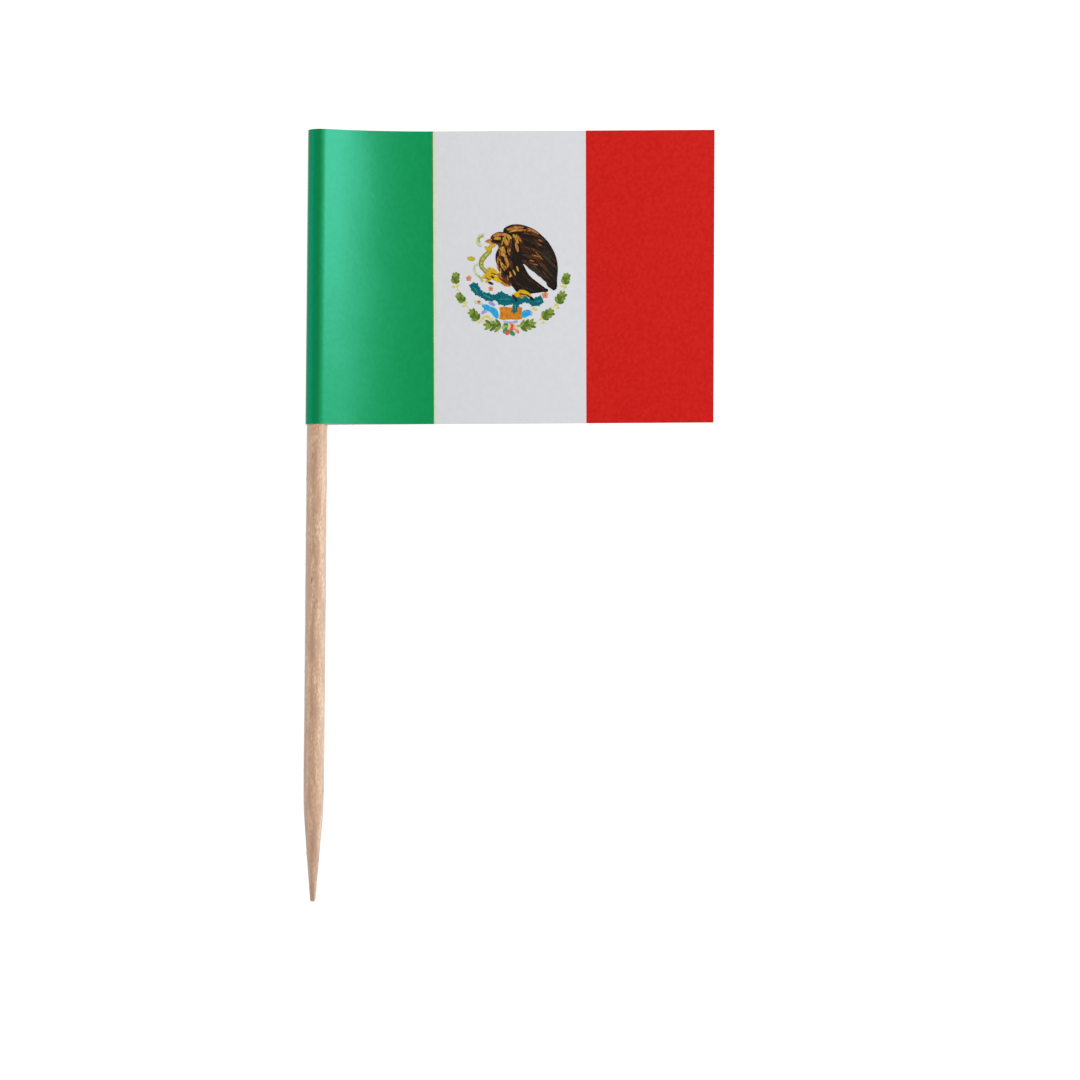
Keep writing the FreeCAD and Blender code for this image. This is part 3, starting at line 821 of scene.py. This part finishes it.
# The eagle: large dark fields first, then rows of feathers, lighter towards the shoulder and the neck.
# The fields are the raised wing, the body with the tail, the head and the thigh.
eagle = [
    ink_field("night", [
        (-6.5, 42.8), (-1.9, 46.4), (5.1, 47.6), (13.6, 45.9), (21.3, 42.2), (26.0, 38.4), (31.4, 32.9),
        (35.3, 26.9), (38.4, 19.8), (39.9, 12.2), (39.4, 1.4), (37.3, -8.8), (33.9, -7.3), (31.2, -5.2),
        (29.5, -1.3), (26.0, 2.2), (21.3, 6.0), (15.9, 9.9), (11.3, 13.4), (7.4, 13.8), (1.2, 20.7),
        (-3.4, 32.3)]),
    ink_field("night", [
        (-12.1, 24.6), (-13.3, 19.2), (-12.5, 14.5), (-10.5, 9.9), (-9.0, 5.3), (-6.5, 1.4), (-2.5, -3.2),
        (1.2, -5.6), (4.9, -10.2), (9.0, -11.6), (13.6, -11.9), (20.6, -11.3), (26.8, -10.4), (31.9, -9.1),
        (29.1, -6.7), (24.4, -3.2), (20.6, -0.3), (16.7, 2.9), (13.6, 7.2), (11.7, 11.1), (9.0, 15.3),
        (5.9, 24.6), (1.2, 32.3), (-6.5, 30.8)]),
    ink_field("brown", [
        (-17.3, 32.3), (-17.3, 36.6), (-15.0, 39.1), (-12.3, 40.6), (-8.0, 41.0), (-4.6, 39.7),
        (-0.7, 37.4), (0.9, 31.6), (-1.5, 24.6), (-6.1, 22.7), (-10.0, 25.0), (-11.1, 29.2),
        (-13.5, 30.9)]),
    ink_field("tan", [
        (-11.1, 6.0), (-7.3, 3.7), (-3.2, -0.2), (0.2, -4.6), (-3.4, -5.7), (-7.3, -4.0), (-10.0, -1.7),
        (-11.1, 1.4)]),
]
wing_roots = [(1.2, 43.9), (13.6, 40.8), (16.7, 35.4), (15.5, 26.1), (13.6, 20.0), (11.7, 14.2)]
wing_tips = [
    (11.3, 46.4), (26.1, 38.1), (35.4, 26.6), (39.8, 12.2), (39.1, 1.4), (37.0, -8.4), (30.2, -2.1),
    (19.8, 7.0),
]
wing_inks = [
    "brown", "dark", "night", "dark", "night", "night", "dark", "moss", "night", "dark", "night", "night",
    "moss", "night", "moss", "dark",
]
for index, ink in enumerate(wing_inks):
    share = index / (len(wing_inks) - 1)
    root, tip = walk(wing_roots, share), walk(wing_tips, share)
    eagle.append(ink_copy(feather, ink, root, tip, 3.4 - 1.4 * share))
    vane = walk([root, tip], 0.5)
    eagle.append(ink_copy(feather, "moss" if index % 2 else "dark", vane, tip, 0.7))
covert_roots = [(-3.8, 43.2), (5.1, 40.8), (9.0, 32.3), (9.4, 23.0), (9.0, 16.9)]
covert_tips = [(11.3, 45.1), (23.7, 39.0), (26.8, 30.0), (28.3, 23.0), (26.4, 17.6), (21.3, 12.2)]
covert_inks = ["tan", "tan", "brown", "night", "dark", "night", "brown", "dark", "brown", "night", "brown"]
for index, ink in enumerate(covert_inks):
    share = index / (len(covert_inks) - 1)
    eagle.append(ink_copy(feather, ink, walk(covert_roots, share), walk(covert_tips, share), 2.6))
plumage = [
    ("night", (5.1, 6.0), (22.9, -8.7), 4.0), ("dark", (5.1, -1.7), (13.6, -10.2), 1.6),
    ("dark", (15.2, 0.6), (28.3, -8.4), 1.4), ("brown", (-11.1, 10.7), (-6.5, 4.5), 2.6),
    ("dark", (-7.3, 6.0), (0.5, -3.2), 3.4), ("dark", (9.0, 6.0), (17.5, -2.1), 1.2),
    ("moss", (11.3, -6.3), (21.3, -9.9), 0.9), ("dark", (1.2, 2.2), (7.4, -5.6), 1.4),
    ("dark", (7.4, 37.7), (11.3, 23.0), 4.4), ("gold", (-6.5, 39.7), (0.9, 35.3), 3.0),
    ("tan", (-11.1, 39.1), (-4.9, 38.1), 3.0), ("dark", (-3.4, 30.0), (1.2, 19.2), 4.6),
    ("tan", (-15.2, 37.6), (-8.7, 39.0), 4.4), ("gold", (-14.5, 35.3), (-7.3, 35.6), 2.4),
    ("brown", (-11.1, 37.0), (-6.0, 37.3), 1.6), ("brown", (-1.9, 18.4), (1.2, 9.1), 3.6),
    ("brown", (-8.4, 4.2), (-0.5, -4.6), 3.2), ("dark", (-8.7, 1.4), (-3.2, -3.9), 1.0),
    ("tan", (-22.0, 32.5), (-16.2, 34.8), 2.4), ("gold", (-20.8, 32.1), (-11.1, 30.0), 1.6),
    ("tan", (-3.4, 42.7), (5.1, 45.8), 2.8), ("gold", (-1.9, 40.8), (5.1, 42.8), 1.4),
    ("brown", (-1.1, 45.0), (4.3, 46.9), 1.6), ("tan", (13.6, 44.7), (24.1, 39.0), 1.8),
    ("night", (1.2, 38.9), (11.3, 40.8), 3.0), ("gold", (1.7, 39.1), (6.3, 31.1), 3.2),
    ("brown", (2.2, 36.2), (4.8, 30.0), 1.4), ("tan", (4.0, 32.3), (6.0, 23.8), 2.8),
    ("gold", (-6.5, 36.6), (-2.5, 29.6), 4.0), ("brown", (-5.3, 37.6), (-1.2, 32.3), 1.8),
    ("gold", (-7.3, 28.5), (-7.0, 20.3), 4.6), ("tan", (-5.3, 21.5), (-2.0, 12.5), 3.6),
    ("tan", (-10.2, 20.6), (-10.2, 12.5), 4.2), ("gold", (-8.7, 15.3), (-5.6, 8.8), 2.8),
    ("gold", (4.8, 11.8), (6.5, 7.1), 1.8), ("gold", (1.7, 8.8), (3.9, 3.9), 1.5),
    ("tan", (-1.9, 6.0), (1.2, 2.9), 1.3), ("night", (-16.4, 33.4), (-7.3, 32.3), 2.8),
    ("tan", (4.2, 38.9), (9.1, 32.3), 2.2), ("night", (-4.8, 27.7), (-2.5, 22.7), 3.2),
]
for ink, root, tip, width in plumage:
    eagle.append(ink_copy(feather, ink, root, tip, width))

# Small feathers break up the large ones: streaks along the wing, and flecks down the neck and breast
random.seed(5)
for across, up in ((17.5, 21.5), (21.3, 20.6), (15.5, 17.0), (19.0, 13.8)):
    eagle.append(ink_copy(feather, "tan", (across, up), (across + 4.5, up - 1.2), 1.0))
for streak in range(70):
    share, start, reach = random.random(), random.uniform(0.02, 0.7), random.uniform(0.14, 0.3)
    quill = [walk(wing_roots, share), walk(wing_tips, share)]
    near_shoulder = share < 0.55
    ink = random.choice(
        ["night", "night", "dark", "brown", "brown", "moss", "tan" if near_shoulder else "moss"])
    root, tip = walk(quill, start), walk(quill, start + reach)
    eagle.append(ink_copy(feather, ink, root, tip, random.uniform(0.6, 1.3)))
throat = [(-6.5, 38.1), (-5.6, 30.0), (-6.5, 22.3), (-7.3, 15.3), (-4.8, 8.4), (1.2, 1.4)]
for fleck in range(60):
    across, up = walk(throat, random.random())
    across, up = across + random.uniform(-4.6, 5.4), up + random.uniform(-2, 2)
    ink = random.choice(["night", "dark", "brown", "tan", "gold", "tan", "gold"])
    tip = (across + random.uniform(-1, 2.5), up - random.uniform(3, 6))
    eagle.append(ink_copy(feather, ink, (across, up), tip, random.uniform(0.9, 1.8)))

# Legs and claws: yellow, one lifted with the snake in it and one standing on the cactus
legs = [
    ("yellow", (6.7, -9.0), (17.1, -13.7), 5.0), ("yellow", (11.3, -10.2), (1.2, -14.1), 5.0),
    ("gold", (7.4, -11.0), (10.1, -15.6), 4.6), ("night", (3.2, -14.1), (5.1, -18.6), 2.4),
    ("night", (15.9, -14.1), (19.5, -17.5), 2.6), ("yellow", (-19.6, 10.3), (-11.1, 5.3), 4.4),
    ("yellow", (-14.2, 7.6), (-24.3, 1.4), 4.6), ("yellow", (-13.5, 5.3), (-22.0, -2.3), 3.4),
    ("yellow", (-17.3, 3.7), (-8.0, -1.7), 4.6), ("yellow", (-17.3, 9.1), (-15.0, 1.4), 4.4),
    ("night", (-17.3, 3.6), (-14.4, 1.4), 2.0), ("dark", (-19.6, -1.7), (-15.0, -3.9), 2.4),
    ("dark", (-17.3, 6.0), (-11.1, 4.2), 1.0), ("brown", (-22.0, 2.2), (-17.3, -0.2), 1.0),
    ("brown", (-10.4, 2.2), (-7.3, -0.9), 1.2), ("dark", (1.2, -12.5), (4.0, -16.4), 2.6),
    ("dark", (6.7, -11.6), (13.6, -12.8), 1.2), ("dark", (12.8, -12.4), (17.0, -15.2), 1.6),
]
for ink, root, tip, width in legs:
    eagle.append(ink_copy(feather, ink, root, tip, width))
printed("emblem_eagle", eagle)
bpy.data.objects.remove(feather)
bpy.data.objects.remove(dot)


# The floor: a plain pale sweep. It reads as white to the eye and in gloss, and keeps a faint contact shadow.
nothing_selected()
floor_drop = 0.03 * MM
bpy.ops.mesh.primitive_plane_add(size=3.0, location=(0, 0, -floor_drop))
floor = bpy.context.object
floor.name = "pale_floor"
bpy.ops.object.transform_apply(location=True, rotation=True, scale=True)


def looked_at(tree):
    """1 where the camera, a gloss or a glass looks, and 0 where a surface only gathers light."""
    rays = tree.nodes.new("ShaderNodeLightPath")
    either = rays.outputs["Is Camera Ray"]
    for ray in ("Is Glossy Ray", "Is Transmission Ray"):
        widest = tree.nodes.new("ShaderNodeMath")
        widest.operation = "MAXIMUM"
        tree.links.new(either, widest.inputs[0])
        tree.links.new(rays.outputs[ray], widest.inputs[1])
        either = widest.outputs[0]
    return either


floor_white = bpy.data.materials.new("pale floor")
floor_white.use_nodes = True
floor_tree = floor_white.node_tree
floor_tree.nodes.clear()
matt = floor_tree.nodes.new("ShaderNodeBsdfDiffuse")
matt.inputs["Color"].default_value = (0.75, 0.75, 0.75, 1)
seen_matt = floor_tree.nodes.new("ShaderNodeBsdfDiffuse")
seen_matt.inputs["Color"].default_value = (0.3, 0.3, 0.3, 1)
seen_glow = floor_tree.nodes.new("ShaderNodeEmission")
seen_glow.inputs["Strength"].default_value = 0.88
seen = floor_tree.nodes.new("ShaderNodeAddShader")
choose = floor_tree.nodes.new("ShaderNodeMixShader")
floor_out = floor_tree.nodes.new("ShaderNodeOutputMaterial")
floor_tree.links.new(seen_matt.outputs[0], seen.inputs[0])
floor_tree.links.new(seen_glow.outputs[0], seen.inputs[1])
floor_tree.links.new(looked_at(floor_tree), choose.inputs[0])
floor_tree.links.new(matt.outputs[0], choose.inputs[1])
floor_tree.links.new(seen.outputs[0], choose.inputs[2])
floor_tree.links.new(choose.outputs[0], floor_out.inputs["Surface"])
floor.data.materials.append(floor_white)


# The room: an even pale light from all round, seen as white
room = bpy.data.worlds.new("pale room")
bpy.context.scene.world = room
room.use_nodes = True
room_tree = room.node_tree
room_tree.nodes.clear()
room_light = room_tree.nodes.new("ShaderNodeBackground")
room_light.inputs["Color"].default_value = (1, 1, 1, 1)
room_light.inputs["Strength"].default_value = 0.39
room_seen = room_tree.nodes.new("ShaderNodeBackground")
room_seen.inputs["Color"].default_value = (1, 1, 1, 1)
room_seen.inputs["Strength"].default_value = 1.0
room_choose = room_tree.nodes.new("ShaderNodeMixShader")
room_out = room_tree.nodes.new("ShaderNodeOutputWorld")
room_tree.links.new(looked_at(room_tree), room_choose.inputs[0])
room_tree.links.new(room_light.outputs[0], room_choose.inputs[1])
room_tree.links.new(room_seen.outputs[0], room_choose.inputs[2])
room_tree.links.new(room_choose.outputs[0], room_out.inputs["Surface"])


# Three soft boxes: the key above on the right, a cooler one low on the right, and a wide fill on the left
def soft_box(name, aim, toward, distance, side, radiance, colour=(1, 1, 1)):
    """A square lamp that looks at a place from one direction. Its power follows from radiance and area."""
    lamp = bpy.data.lights.new(name, "AREA")
    lamp.shape = "SQUARE"
    lamp.size = side
    lamp.color = colour
    lamp.energy = radiance * math.pi * side ** 2
    box = bpy.data.objects.new(name, lamp)
    bpy.context.collection.objects.link(box)
    direction = Vector(toward).normalized()
    box.location = Vector(aim) + direction * distance
    box.rotation_euler = direction.to_track_quat("Z", "Y").to_euler()


soft_box(
    "key_box", aim=(-0.0144, 0.0275, 0.0015), toward=(0.545, 0.168, 0.822),
    distance=0.28, side=0.062, radiance=31.5)
soft_box(
    "side_box", aim=(-0.0144, -0.005, 0.001), toward=(0.985, 0.0, 0.17),
    distance=0.26, side=0.06, radiance=40.5, colour=(0.87, 1.0, 1.1))
soft_box(
    "fill_box", aim=(-0.0144, 0.005, 0.001), toward=(-0.95, 0.0, 0.30),
    distance=0.30, side=0.28, radiance=1.7)


# The camera: straight above, turned by half a degree, as far off as a hand-held close-up
camera_data = bpy.data.cameras.new("overhead_camera")
camera_data.sensor_width = 36.0
camera_data.lens = 85.877
camera_data.clip_start = 0.01
camera = bpy.data.objects.new("overhead_camera", camera_data)
bpy.context.collection.objects.link(camera)
camera.location = (2.6626 * MM, -2.1163 * MM, 220.2 * MM)
camera.rotation_euler = (0, 0, math.radians(0.54))
bpy.context.scene.camera = camera
bpy.context.scene.view_settings.view_transform = "Standard"

bpy.context.view_layer.update()
